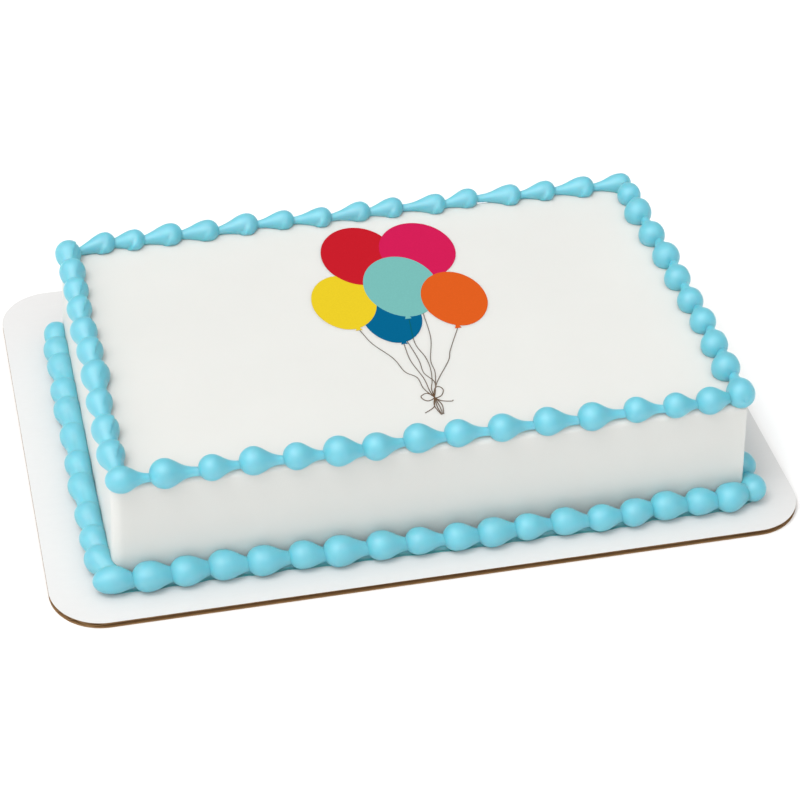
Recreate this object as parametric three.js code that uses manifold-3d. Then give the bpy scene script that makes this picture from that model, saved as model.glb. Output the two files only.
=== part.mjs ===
// A white iced sheet cake on its corrugated board, with piped bead borders round its top and bottom edges
// and a flat printed picture of six balloons on the top. Millimetres, +Z up, -Y is the front.
// The origin is on the board's underside, at its centre.
import * as THREE from "three";
import * as BufferGeometryUtils from "three/addons/utils/BufferGeometryUtils.js";
import Module from "manifold-3d";

const wasm = await Module();
wasm.setup();

// Board: a 14 by 10 inch cake board
const BOARD = { length: 355.6, width: 254, cornerRadius: 25, cornerSteps: 5 };
const BOTTOM_LINER = 0.4;
const CORE = 2.2;
const TOP_LINER = 0.4;
const BOARD_TOP = BOTTOM_LINER + CORE + TOP_LINER;
const CORE_INSET = 0.3;

// Cake: a 12 by 8 inch layer with its icing, a little narrower at the top than at the base
const CAKE = { x: 1.6, y: -6.05, topLength: 295.7, topWidth: 187.9, height: 54.7, flare: 2.3 };
// The spatula left the cake's right corners sharper than its left ones
const CAKE_CORNER = { left: 4.5, right: 1.3 };
const CAKE_EDGE = 3;
const CAKE_CORNER_STEPS = 4;
const CAKE_EDGE_STEPS = 3;
// How much smaller the corners' radii are at the top of the rounded edge
const CORNER_NARROWING = 1 / 3;
const CAKE_TOP = BOARD_TOP + CAKE.height;
const CUT_BELOW = 1;

// Piped beads: each has a round head and a tail that the next head covers.
// radius is the head's. tail is the tail's radius, waist the distance at which the bead narrows to it, and nose the
// reach of the run's first head in front of its centre, all in head radii. power is how sharply it narrows.
// drop lowers the tail and pull moves it towards the cake, and late is how late on the tail they do so.
// full is how much of the head's radius the tail keeps on the side that presses against the cake.
const TOP_BEAD = {
  radius: 6.6,
  height: 3.4,
  tail: 0.38,
  waist: 1.08,
  power: 2.3,
  drop: 1.9,
  pull: 0,
  late: 1.5,
  nose: 1,
  full: 0,
};
const BOTTOM_BEAD = {
  radius: 6.6,
  height: 6.5,
  tail: 0.42,
  waist: 1.2,
  power: 2.6,
  drop: 2.5,
  pull: 0.3,
  late: 2.5,
  nose: 1,
  full: 0,
};
const BEAD_SIDES = 8;
// Rings of points on the head's round front, in head radii, and on its tail, in waists
const RUN_START = -0.98;
const FRONT_STATIONS = [-0.85, -0.45];
const TAIL_STATIONS = [0.32, 1.1];
// The crease where a head covers the last one's tail, in head radii before the head's centre
const CREASE = 0.9;
// The furthest that a ring on the tail lies from the head, as a share of the way to the crease
const TAIL_LIMIT = 0.88;
const SIZE_SPREAD = 0.09;
const SIDE_SPREAD = 1.3;
const SIDE_LATE = 1.5;
const CORNER_REACH = 1.3;

// The rings that the heads' centres follow: out is from the cake's face, and base is what the beads lie on
const TOP_RING = { out: -2.2, base: CAKE_TOP, length: CAKE.topLength, width: CAKE.topWidth };
const BOTTOM_RING = {
  out: 6.4,
  base: BOARD_TOP,
  length: CAKE.topLength + 2 * CAKE.flare,
  width: CAKE.topWidth + 2 * CAKE.flare,
};

// The four sides in the order that they are piped, counterclockwise from above
const SIDES = {
  left: { heading: -Math.PI / 2, corner: [-1, 1], along: "width" },
  front: { heading: 0, corner: [-1, -1], along: "length" },
  right: { heading: Math.PI / 2, corner: [1, -1], along: "width" },
  back: { heading: Math.PI, corner: [1, 1], along: "length" },
};
const SIDE_ORDER = ["left", "front", "right", "back"];

// Each run: where its first and last heads lie, in mm from the ring's corner, how many heads it has, how uneven
// their gaps are, and how far the first and the last lean towards the cake.
// The seeds are those of its uneven gaps, sizes and places across the run.
const TOP_RUNS = {
  left: {
    ...TOP_BEAD,
    first: 9, last: 166.8, count: 10, spread: 0.24, lean: [0.8, 0.75], seeds: [2874485, 1362779, 2704295],
    radius: 6.8, tail: 0.48, waist: 1,
  },
  front: {
    ...TOP_BEAD,
    first: 2.5, last: 275, count: 15, spread: 0.17, lean: [-1.15, 0.4], seeds: [11842577, 470272, 2171953],
    radius: 6.45, tail: 0.31, drop: 1.2, nose: 1.17,
  },
  right: {
    ...TOP_BEAD,
    first: 2.2, last: 171, count: 10, spread: 0.13, lean: [0.2, 0.95], seeds: [305711, 1006972, 457663],
    tail: 0.34, waist: 1.18, power: 2.7, drop: 0.5, pull: -1.8, late: 1.2,
  },
  back: {
    ...TOP_BEAD,
    first: 1.8, last: 271.7, count: 15, spread: 0.23, lean: [-1.95, 0.65], seeds: [3642226, 1406760, 914661],
    radius: 5.45, height: 2.3, tail: 0.35, waist: 1.6, power: 2.2, drop: 0.9,
  },
};
const BOTTOM_RUNS = {
  left: {
    ...BOTTOM_BEAD,
    first: 15.2, last: 188.3, count: 11, spread: 0.24, lean: [1.7, 0.6], seeds: [2080729, 809036, 768839],
    radius: 6.55, tail: 0.62, waist: 1, drop: 0.8, full: 0.9,
  },
  front: {
    ...BOTTOM_BEAD,
    first: 5.9, last: 297.5, count: 18, spread: 0.13, lean: [1.35, -1], seeds: [1697585, 758828, 3609254],
    radius: 6.78, drop: 1, nose: 1.42,
  },
  right: {
    ...BOTTOM_BEAD,
    first: 3.9, last: 185, count: 12, spread: 0.13, lean: [2, 0.5], seeds: [31, 175209, 103006],
    radius: 6.4, tail: 0.5,
  },
  back: {
    ...BOTTOM_BEAD,
    first: 5.2, last: 288, count: 17, spread: 0.13, lean: [0, 0], seeds: [32, 33, 34],
    end: 304,
  },
};

// Printed picture, on the cake's top, measured from the cake's centre
const FILM = 0.4;
const BALLOON_STEPS = 22;
const BALLOON_POINT = 0.07;
const KNOT = { width: 3.2, height: 2.4, neck: 1.5, overlap: 1 };
const BALLOONS = {
  orange: { x: 34.6, y: 13.9, width: 32, height: 44.8, knotAt: -4, color: 0xe05e1e },
  teal: { x: 11.4, y: 28.7, width: 36.6, height: 50.5, knotAt: -2.6, color: 0x79bdb8 },
  magenta: { x: 26.4, y: 57, width: 38, height: 48.4, knotAt: 0, color: 0xd41c56 },
  red: { x: -3.6, y: 57.9, width: 37.2, height: 49.8, knotAt: 0, color: 0xc81b29 },
  yellow: { x: -18.9, y: 21.2, width: 31.2, height: 44.3, knotAt: 2.4, color: 0xebcd27 },
  blue: { x: 1.4, y: 5, width: 28.5, height: 41.4, knotAt: 1, color: 0x006590 },
};
// Front to back: each balloon is cut by all those before it
const BALLOON_ORDER = ["orange", "teal", "magenta", "red", "yellow", "blue"];

const STRING = { width: 0.7, height: 2 * FILM, steps: 8, loopSteps: 10, endSteps: 3 };
const TIE = { x: 6.6, y: -59.6, radius: 1.1, sides: 8 };
// The places that each string passes on its way from its balloon to the tie
const STRINGS = [
  [[-16.2, -2.4], [-12.6, -14], [-5.5, -26.8], [-2.4, -38], [2.2, -43.5], [3.3, -52.2]],
  [[2.1, -17], [2.2, -30.3], [5.1, -44.6], [5.6, -54.3]],
  [[4.1, -15], [6.1, -30.5], [6.1, -40.5], [9.3, -47.8], [8.4, -54]],
  [[8.9, 1], [7.4, -17.6], [9.7, -29], [9.9, -38.5], [8.4, -47.5], [6.8, -53]],
  [[16.8, 4.8], [15.7, -15], [11.6, -31.5], [11.4, -41], [9.2, -51]],
  [[30.2, -10], [22.6, -26], [19.8, -33.6], [10.4, -49]],
];
// The bow's two loops, which start and end at the tie, and then its ends, all measured from the tie
const BOW_LOOPS = [
  [[-1.8, 3.1], [-3.6, 3.6], [-6, 1.8], [-5, -1], [-2.9, -1.9]],
  [[1.6, 6.2], [3.9, 7.5], [5.3, 4.6], [3.3, 0.6]],
];
const BOW_ENDS = [
  [[2.4, -2.9], [6.9, -4.2], [8.1, -3.6]],
  [[-1.4, -5.6], [-3, -7.9], [-6.9, -10.3]],
  [[-1.5, -6], [0.1, -12.9]],
  [[-0.4, -7], [0.4, -12.8]],
  [[0.8, -7.2], [0.8, -12.6]],
  [[2.1, -5.9], [1.3, -12.6]],
];

// Pieces that meet side by side keep this gap
const GAP = 0.3;
// How far a thread stands out of the strings' height before it is trimmed, and how much more each one does
const TRIM = 0.5;
const TRIM_STEP = 0.125;
// How deep a balloon's cutter sinks into the cake, and how much deeper the cutter of its knot does
const CUTTER_SINK = 1;
const MERGE_WITHIN = 1e-4;

const FINISH = {
  whitePaper: { color: 0xecedec, roughness: 0.7, metalness: 0 },
  kraft: { color: 0x9a6f4b, roughness: 0.9, metalness: 0 },
  whiteIcing: { color: 0xeeeeea, roughness: 0.5, metalness: 0 },
  blueIcing: { color: 0x8fdcec, roughness: 0.45, metalness: 0 },
  thread: { color: 0x96887f, roughness: 0.8, metalness: 0 },
};

// The same draws on every run
function seededRandom(seed) {
  let state = seed;
  return () => {
    state = (state + 0x6d2b79f5) | 0;
    let mixed = Math.imul(state ^ (state >>> 15), 1 | state);
    mixed = (mixed + Math.imul(mixed ^ (mixed >>> 7), 61 | mixed)) ^ mixed;
    return ((mixed ^ (mixed >>> 14)) >>> 0) / 4294967296;
  };
}

// How much larger or smaller than 1, by at most spread
function unevenness(random, spread) {
  return 1 + spread * (2 * random() - 1);
}

// Joining and cutting
function toSolid(geometry) {
  const bare = geometry.clone();
  for (const name of Object.keys(bare.attributes)) {
    if (name !== "position") bare.deleteAttribute(name);
  }
  const merged = BufferGeometryUtils.mergeVertices(bare, MERGE_WITHIN);
  const vertProperties = Float32Array.from(merged.attributes.position.array);
  const triVerts = Uint32Array.from(merged.index.array);
  return new wasm.Manifold(new wasm.Mesh({ numProp: 3, vertProperties, triVerts }));
}

function toGeometry(solid) {
  const mesh = solid.getMesh();
  const geometry = new THREE.BufferGeometry();
  geometry.setAttribute("position", new THREE.BufferAttribute(mesh.vertProperties, mesh.numProp));
  geometry.setIndex(new THREE.BufferAttribute(mesh.triVerts, 1));
  return geometry;
}

function joined(geometries) {
  const [first, ...others] = geometries.map(toSolid);
  return others.reduce((whole, piece) => whole.add(piece), first);
}

// A closed body from rings of points that all have the same count, lowest first. With inRound the last ring is
// joined to the first, and the body has no ends.
function loft(rings, inRound = false) {
  const sides = rings[0].length;
  const count = rings.length * sides;
  const points = rings.flat();
  const index = [];
  for (let ring = 0; ring < (inRound ? rings.length : rings.length - 1); ring++) {
    for (let side = 0; side < sides; side++) {
      const here = ring * sides + side;
      const next = ring * sides + ((side + 1) % sides);
      const above = (here + sides) % count;
      const nextAbove = (next + sides) % count;
      index.push(here, next, nextAbove, here, nextAbove, above);
    }
  }
  const last = count - sides;
  for (let side = 1; side < sides - 1 && !inRound; side++) {
    index.push(0, side + 1, side);
    index.push(last, last + side, last + side + 1);
  }
  const geometry = new THREE.BufferGeometry();
  geometry.setAttribute("position", new THREE.Float32BufferAttribute(points.flat(), 3));
  geometry.setIndex(index);
  return geometry;
}

// Points round a rectangle with round corners, counterclockwise from above; the left and the right ones may differ
function roundedRectangle(halfX, halfY, radii, steps) {
  const corners = [[1, 1], [-1, 1], [-1, -1], [1, -1]];
  const points = [];
  corners.forEach(([signX, signY], quarter) => {
    const radius = signX < 0 ? radii.left : radii.right;
    for (let step = 0; step <= steps; step++) {
      const angle = (Math.PI / 2) * (quarter + step / steps);
      const x = signX * (halfX - radius) + radius * Math.cos(angle);
      const y = signY * (halfY - radius) + radius * Math.sin(angle);
      points.push([x, y]);
    }
  });
  return points;
}

function atHeight(outline, z, x = 0, y = 0) {
  return outline.map(([px, py]) => [px + x, py + y, z]);
}

// Board
function boardSheet(bottom, thickness, inset) {
  const halfX = BOARD.length / 2 - inset;
  const halfY = BOARD.width / 2 - inset;
  const radius = BOARD.cornerRadius - inset;
  const outline = roundedRectangle(halfX, halfY, { left: radius, right: radius }, BOARD.cornerSteps);
  return loft([atHeight(outline, bottom), atHeight(outline, bottom + thickness)]);
}

// The outline of the cake at one height, moved out by grow, with its corners' radii made into others by change
function cakeRing(z, grow, change) {
  const halfX = CAKE.topLength / 2 + grow;
  const halfY = CAKE.topWidth / 2 + grow;
  const radii = { left: change(CAKE_CORNER.left), right: change(CAKE_CORNER.right) };
  return atHeight(roundedRectangle(halfX, halfY, radii, CAKE_CORNER_STEPS), z, CAKE.x, CAKE.y);
}

function flareAt(z) {
  return (CAKE.flare * (CAKE_TOP - z)) / CAKE.height;
}

function icedCake() {
  const shoulder = CAKE_TOP - CAKE_EDGE;
  const rings = [cakeRing(BOARD_TOP, CAKE.flare, (radius) => radius)];
  for (let step = 0; step <= CAKE_EDGE_STEPS; step++) {
    const angle = ((Math.PI / 2) * step) / CAKE_EDGE_STEPS;
    const z = shoulder + CAKE_EDGE * Math.sin(angle);
    const inset = CAKE_EDGE * (1 - Math.cos(angle));
    const narrowing = 1 - (CORNER_NARROWING * inset) / CAKE_EDGE;
    rings.push(cakeRing(z, flareAt(z) - inset, (radius) => radius * narrowing));
  }
  return loft(rings);
}

// A sharp-edged block that holds the cake with a gap at its sides, for cutting what is piped on it
function cakeCutter() {
  const bottom = BOARD_TOP - CUT_BELOW;
  const widened = (radius) => radius + GAP;
  return toSolid(loft([cakeRing(bottom, flareAt(bottom) + GAP, widened), cakeRing(CAKE_TOP, GAP, widened)]));
}

// The ring of points round a bead at one place, with the cake on its +Y side, where it is wider by extra
function beadRing(x, y, z, radius, extra = 0) {
  const points = [];
  for (let side = 0; side < BEAD_SIDES; side++) {
    const angle = (2 * Math.PI * side) / BEAD_SIDES;
    const reach = radius + extra * Math.max(0, Math.cos(angle));
    points.push([x, y + reach * Math.cos(angle), z + reach * Math.sin(angle)]);
  }
  return points;
}

// The rings on a head's round front, which reaches further forward on a run's first head
function frontRings(run, head, isFirst, swell) {
  const radius = run.radius * head.size;
  const reach = (isFirst ? run.nose : 1) * (radius + swell);
  const stations = isFirst ? [RUN_START, ...FRONT_STATIONS] : FRONT_STATIONS;
  return stations.map((along) => {
    const across = radius * Math.sqrt(1 - along ** 2) + swell;
    return beadRing(head.at + along * reach, head.side, run.height, across);
  });
}

// The rings on a bead's tail, the last of which is at end; the tail leads from its own head's side to endSide
function tailRings(run, head, end, endSide, swell) {
  const radius = run.radius * head.size;
  const reach = end - head.at;
  const places = TAIL_STATIONS.map((station) => Math.min(station * run.waist * radius, TAIL_LIMIT * reach));
  return [...places, reach].map((beyond) => {
    const narrowing = Math.exp(-((beyond / (run.waist * radius)) ** run.power));
    const across = radius * (run.tail + (1 - run.tail) * narrowing);
    const share = beyond / reach;
    const moved = share ** run.late;
    const y = head.side + (endSide - head.side) * share ** SIDE_LATE + run.pull * moved;
    const z = run.height - run.drop * moved;
    return beadRing(head.at + beyond, y, z, across + swell, run.full * (radius - across));
  });
}

// Beads in a row along +X, from a head's round front to the end of the last tail, grown all round by swell
function beadRow(run, heads, end, endSide, swell) {
  const rings = [];
  heads.forEach((head, i) => {
    const next = heads[i + 1];
    const stop = next ? next.at - CREASE * run.radius * next.size : end;
    rings.push(...frontRings(run, head, i === 0, swell));
    rings.push(...tailRings(run, head, stop, next ? next.side : endSide, swell));
  });
  return loft(rings);
}

// Where a run's heads lie, how large they are, and how far from the ring they are, towards the cake
function headsOf(run) {
  const [gaps, sizes, sides] = run.seeds.map(seededRandom);
  const [firstLean, lastLean] = run.lean;
  const shares = [0];
  for (let i = 1; i < run.count; i++) shares.push(shares[i - 1] + unevenness(gaps, run.spread));
  const scale = (run.last - run.first) / shares[run.count - 1];
  return shares.map((share, i) => {
    const lean = firstLean + ((lastLean - firstLean) * i) / (run.count - 1);
    return {
      at: run.first + share * scale,
      size: unevenness(sizes, SIZE_SPREAD),
      side: lean + unevenness(sides, SIDE_SPREAD) - 1,
    };
  });
}

function ringSpan(ring, along) {
  return ring[along] + 2 * ring.out;
}

// Puts a row made along +X from its side's corner of the ring onto that side
function placeOnRing(geometry, ring, side) {
  const cornerX = CAKE.x + (side.corner[0] * ringSpan(ring, "length")) / 2;
  const cornerY = CAKE.y + (side.corner[1] * ringSpan(ring, "width")) / 2;
  geometry.rotateZ(side.heading);
  geometry.translate(cornerX, cornerY, ring.base);
  return geometry;
}

// The bead that starts a side, grown all round by the gap, for cutting the run that ends under it
function startOfRun(run, ring, sideName, heads) {
  const [first, second] = heads;
  return placeOnRing(beadRow(run, [first], second.at, second.side, GAP), ring, SIDES[sideName]);
}

// All the beads of one side; unless the run has an end of its own, its last tail bends at the corner into the
// next side's first head
function beadRun(run, ring, sideName, heads, nextHead) {
  const side = SIDES[sideName];
  const lastHead = heads[heads.length - 1];
  const corner = ringSpan(ring, side.along) - nextHead.side;
  const end = run.end ?? Math.max(corner, lastHead.at + CORNER_REACH * run.radius);
  const endSide = run.end ? lastHead.side : nextHead.at;
  return toSolid(placeOnRing(beadRow(run, heads, end, endSide, 0), ring, side));
}

// A border: four runs, each cut clear of the cake, the board and the head that starts the next run
function border(name, ring, runs, cutters) {
  const heads = {};
  for (const sideName of SIDE_ORDER) heads[sideName] = headsOf(runs[sideName]);
  return SIDE_ORDER.map((sideName, i) => {
    const nextName = SIDE_ORDER[(i + 1) % SIDE_ORDER.length];
    const nextHead = toSolid(startOfRun(runs[nextName], ring, nextName, heads[nextName]));
    let beads = beadRun(runs[sideName], ring, sideName, heads[sideName], heads[nextName][0]).subtract(nextHead);
    for (const cutter of cutters) beads = beads.subtract(cutter);
    return named(`${name}_border_${sideName}`, toGeometry(beads), FINISH.blueIcing);
  });
}

// Printed picture: the outline of one balloon, a little pointed at the bottom, grown all round by swell
function balloonOutline(balloon, swell) {
  const halfX = balloon.width / 2 + swell;
  const halfY = balloon.height / 2 + swell;
  const points = [];
  for (let step = 0; step < BALLOON_STEPS; step++) {
    const angle = (2 * Math.PI * (step + 0.5)) / BALLOON_STEPS;
    const narrowing = 1 - BALLOON_POINT * Math.max(0, -Math.sin(angle)) ** 2;
    points.push([balloon.x + halfX * narrowing * Math.cos(angle), balloon.y + halfY * Math.sin(angle)]);
  }
  return points;
}

function knotOutline(balloon, swell) {
  const x = balloon.x + balloon.knotAt;
  const top = balloon.y - balloon.height / 2 + KNOT.overlap;
  const bottom = top - KNOT.height - swell;
  const wide = KNOT.width / 2 + swell;
  const narrow = KNOT.neck / 2 + swell;
  return [[x - wide, bottom], [x + wide, bottom], [x + narrow, top], [x - narrow, top]];
}

// A flat piece on the cake's top; sink takes it further down, for cutting
function onCakeTop(outline, height, sink = 0) {
  const low = atHeight(outline, CAKE_TOP - sink, CAKE.x, CAKE.y);
  const high = atHeight(outline, CAKE_TOP + height, CAKE.x, CAKE.y);
  return loft([low, high]);
}

function balloonSolid(balloon) {
  const parts = [balloonOutline(balloon, 0), knotOutline(balloon, 0)];
  return joined(parts.map((outline) => onCakeTop(outline, FILM)));
}

// A balloon's outline grown by the gap, for cutting what it covers
function balloonCutter(balloon) {
  const parts = [balloonOutline(balloon, GAP), knotOutline(balloon, GAP)];
  return joined(parts.map((outline, i) => onCakeTop(outline, FILM, CUTTER_SINK * (1 + i))));
}

function balloonMeshes() {
  return BALLOON_ORDER.map((name, i) => {
    let film = balloonSolid(BALLOONS[name]);
    for (const nearer of BALLOON_ORDER.slice(0, i)) film = film.subtract(balloonCutter(BALLOONS[nearer]));
    const finish = { color: BALLOONS[name].color, roughness: 0.45, metalness: 0 };
    return named(`balloon_${name}`, toGeometry(film), finish);
  });
}

// A flat thread along a smooth curve through some places; extra is how much it stands out above and below
function threadSolid(places, closed, steps, extra) {
  const points = places.map(([x, y]) => new THREE.Vector3(CAKE.x + x, CAKE.y + y, CAKE_TOP));
  const curve = new THREE.CatmullRomCurve3(points, closed, "catmullrom", 0.5);
  const rings = [];
  for (let step = 0; step < (closed ? steps : steps + 1); step++) {
    const middle = curve.getPointAt(step / steps);
    const ahead = curve.getTangentAt(step / steps);
    const left = new THREE.Vector3(-ahead.y, ahead.x, 0).multiplyScalar(STRING.width / 2);
    const low = new THREE.Vector3(0, 0, -extra);
    const high = new THREE.Vector3(0, 0, STRING.height + extra);
    const corners = [[1, low], [1, high], [-1, high], [-1, low]];
    rings.push(corners.map(([side, up]) => middle.clone().addScaledVector(left, side).add(up).toArray()));
  }
  return loft(rings, closed);
}

function tieKnot() {
  const tall = STRING.height + 4 * TRIM;
  const geometry = new THREE.CylinderGeometry(TIE.radius, TIE.radius, tall, TIE.sides);
  geometry.rotateX(Math.PI / 2);
  return geometry.translate(CAKE.x + TIE.x, CAKE.y + TIE.y, CAKE_TOP + STRING.height / 2);
}

// The room that the flat strings lie in, which trims them to one height
function stringRoom() {
  const outline = roundedRectangle(CAKE.topLength / 2, CAKE.topWidth / 2, CAKE_CORNER, 1);
  return toSolid(onCakeTop(outline, STRING.height));
}

function stringsMesh() {
  const tie = [TIE.x, TIE.y];
  const fromTie = ([x, y]) => [TIE.x + x, TIE.y + y];
  const throughTie = (places) => [tie, ...places.map(fromTie)];
  const lines = [
    ...STRINGS.map((places) => ({ places: [...places, tie], closed: false, steps: STRING.steps })),
    ...BOW_LOOPS.map((places) => ({ places: throughTie(places), closed: true, steps: STRING.loopSteps })),
    ...BOW_ENDS.map((places) => ({ places: throughTie(places), closed: false, steps: STRING.endSteps })),
  ];
  // Each thread is a little taller than the last, so that no two share a face before the trim
  const threads = lines.map(({ places, closed, steps }, i) => {
    return threadSolid(places, closed, steps, TRIM + TRIM_STEP * i);
  });
  let whole = joined([...threads, tieKnot()]).intersect(stringRoom());
  for (const name of BALLOON_ORDER) whole = whole.subtract(balloonCutter(BALLOONS[name]));
  return named("print_strings", toGeometry(whole), FINISH.thread);
}

function named(name, geometry, finish) {
  const mesh = new THREE.Mesh(geometry, new THREE.MeshStandardMaterial(finish));
  mesh.name = name;
  return mesh;
}

const underBorder = toSolid(boardSheet(0, BOARD_TOP, 0));
const insideBorder = cakeCutter();
const part = new THREE.Group();
part.name = "balloon_decorated_cake";
part.add(
  named("board_bottom_liner", boardSheet(0, BOTTOM_LINER, 0), FINISH.kraft),
  named("board_core", boardSheet(BOTTOM_LINER, CORE, CORE_INSET), FINISH.kraft),
  named("board_top_liner", boardSheet(BOTTOM_LINER + CORE, TOP_LINER, 0), FINISH.whitePaper),
  named("iced_cake", icedCake(), FINISH.whiteIcing),
  ...border("top", TOP_RING, TOP_RUNS, [insideBorder]),
  ...border("bottom", BOTTOM_RING, BOTTOM_RUNS, [underBorder, insideBorder]),
  ...balloonMeshes(),
  stringsMesh(),
);

export default part;
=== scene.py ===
# Looks for a white iced sheet cake on its corrugated board, with blue bead borders and printed balloons.
# Metres, +Z up, -Y is the front, and the origin is under the board's middle.
import math

import bpy
import numpy as np
from mathutils import Matrix, Vector, noise
from mathutils.geometry import delaunay_2d_cdt


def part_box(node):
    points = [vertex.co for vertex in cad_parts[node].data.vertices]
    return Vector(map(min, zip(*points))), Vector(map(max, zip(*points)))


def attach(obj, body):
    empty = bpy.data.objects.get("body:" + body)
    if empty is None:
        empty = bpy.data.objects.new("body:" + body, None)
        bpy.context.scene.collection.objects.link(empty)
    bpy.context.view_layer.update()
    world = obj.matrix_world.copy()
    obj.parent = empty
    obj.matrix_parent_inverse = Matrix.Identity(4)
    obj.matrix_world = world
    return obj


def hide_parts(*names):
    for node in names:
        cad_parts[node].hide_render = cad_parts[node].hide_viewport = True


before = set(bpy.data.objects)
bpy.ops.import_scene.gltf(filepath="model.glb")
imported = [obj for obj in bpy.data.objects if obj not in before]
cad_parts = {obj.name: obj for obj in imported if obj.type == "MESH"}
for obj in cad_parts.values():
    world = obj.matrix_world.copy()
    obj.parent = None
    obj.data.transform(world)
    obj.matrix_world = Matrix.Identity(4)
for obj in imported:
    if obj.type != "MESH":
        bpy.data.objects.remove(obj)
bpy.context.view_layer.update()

MM = 0.001

# Sizes taken from the frame
BOARD_LOW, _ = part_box("board_bottom_liner")
LINER_LOW, LINER_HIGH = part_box("board_top_liner")
CORE_LOW, CORE_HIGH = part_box("board_core")
CAKE_LOW, CAKE_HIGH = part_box("iced_cake")
CAKE_X = (CAKE_LOW.x + CAKE_HIGH.x) / 2
CAKE_Y = (CAKE_LOW.y + CAKE_HIGH.y) / 2
CAKE_TOP = CAKE_HIGH.z
BOARD_TOP = LINER_HIGH.z
# How much further out each of the cake's sides is at its base than at its top
FLARE = 2.3 * MM
TOP_HALF = ((CAKE_HIGH.x - CAKE_LOW.x) / 2 - FLARE, (CAKE_HIGH.y - CAKE_LOW.y) / 2 - FLARE)
BASE_HALF = (TOP_HALF[0] + FLARE, TOP_HALF[1] + FLARE)
# The spatula left the cake's right corners sharper than its left ones
CAKE_CORNER = (1.3 * MM, 4.5 * MM)
# The rounding of the cake's top edge, and by what share the corners' radii shrink across it
CAKE_EDGE = 3 * MM
CORNER_NARROWING = 1 / 3
BOARD_CORNER = 25 * MM

# Camera: fitted to the board's and the cake's edges in an 800 by 800 picture
CAMERA_AT = (-0.21835, -0.89191, 0.73693)
CAMERA_YAW = 14.269
CAMERA_PITCH = 38.509
CAMERA_ROLL = 1.775
SENSOR = 36
FOCAL_PIXELS = 2365.5
PICTURE_PIXELS = 800


# Mesh helpers
# An edge on which the two sides turn by more than this many degrees stays sharp
SHARP_FROM = {"cake": 50, "beads": 38, "film": 40, "threads": 50, "liner": 40, "fluting": 50}
# Points of an outline that lie closer together than this are one
SAME_POINT = 1e-7


def new_object(name, vertices, faces):
    mesh = bpy.data.meshes.new(name)
    mesh.from_pydata([tuple(v) for v in vertices], [], [tuple(f) for f in faces])
    mesh.validate()
    mesh.shade_smooth()
    made = bpy.data.objects.new(name, mesh)
    bpy.context.scene.collection.objects.link(made)
    return made


def smooth_to_angle(made, degrees):
    made.data.shade_smooth()
    made.data.set_sharp_from_angle(angle=math.radians(degrees))


def apply_modifiers(made):
    graph = bpy.context.evaluated_depsgraph_get()
    mesh = bpy.data.meshes.new_from_object(made.evaluated_get(graph))
    made.modifiers.clear()
    old = made.data
    made.data = mesh
    bpy.data.meshes.remove(old)


def join_by_union(name, pieces, cutter=None):
    """One closed mesh from overlapping closed meshes, with an optional block cut away."""
    whole, others = pieces[0], pieces[1:]
    whole.name = name
    group = bpy.data.collections.new(name + "_others")
    bpy.context.scene.collection.children.link(group)
    for piece in others:
        bpy.context.scene.collection.objects.unlink(piece)
        group.objects.link(piece)
    union = whole.modifiers.new("union", "BOOLEAN")
    union.operand_type = "COLLECTION"
    union.collection = group
    union.operation = "UNION"
    union.solver = "MANIFOLD"
    if cutter is not None:
        cut = whole.modifiers.new("cut", "BOOLEAN")
        cut.object = cutter
        cut.operation = "DIFFERENCE"
        cut.solver = "MANIFOLD"
    apply_modifiers(whole)
    for piece in others:
        bpy.data.objects.remove(piece)
    bpy.data.collections.remove(group)
    return whole


def ring_faces(rings, sides):
    faces = []
    for ring in range(rings - 1):
        for side in range(sides):
            here = ring * sides + side
            turned = ring * sides + (side + 1) % sides
            faces.append((here, turned, turned + sides, here + sides))
    return faces


def rounded_rectangle(half_x, half_y, radii, corner_steps, long_steps=1, short_steps=1):
    """Points round a rectangle with round corners, counterclockwise from above; radii are (right, left)."""
    corners = ((1, 1), (-1, 1), (-1, -1), (1, -1))
    points = []
    for quarter, (sign_x, sign_y) in enumerate(corners):
        radius = radii[0] if sign_x > 0 else radii[1]
        for step in range(corner_steps + 1):
            angle = math.pi / 2 * (quarter + step / corner_steps)
            x = sign_x * (half_x - radius) + radius * math.cos(angle)
            y = sign_y * (half_y - radius) + radius * math.sin(angle)
            points.append((x, y))
        start = points[-1]
        next_x, next_y = corners[(quarter + 1) % 4]
        next_radius = radii[0] if next_x > 0 else radii[1]
        next_angle = math.pi / 2 * (quarter + 1)
        end = (
            next_x * (half_x - next_radius) + next_radius * math.cos(next_angle),
            next_y * (half_y - next_radius) + next_radius * math.sin(next_angle),
        )
        steps = long_steps if quarter % 2 == 0 else short_steps
        for step in range(1, steps):
            share = step / steps
            points.append((start[0] + (end[0] - start[0]) * share, start[1] + (end[1] - start[1]) * share))
    return points


def fill_outlines(outlines, spacing):
    """Triangles that fill closed outlines, with each triangle's list of the outlines that cover it."""
    points = []
    faces = []
    for outline in outlines:
        faces.append(list(range(len(points), len(points) + len(outline))))
        points.extend(Vector(p) for p in outline)
    array = np.array([tuple(p) for p in points])
    low, high = array.min(0), array.max(0)
    rows = np.arange(low[1] + spacing / 2, high[1], spacing)
    for row, y in enumerate(rows):
        shift = spacing / 4 if row % 2 else -spacing / 4
        for x in np.arange(low[0] + spacing / 2 + shift, high[0], spacing):
            points.append(Vector((x, y)))
    result = delaunay_2d_cdt(points, [], faces, 0, SAME_POINT)
    covered = [(tri, owners) for tri, owners in zip(result[2], result[5]) if owners]
    return result[0], covered


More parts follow.
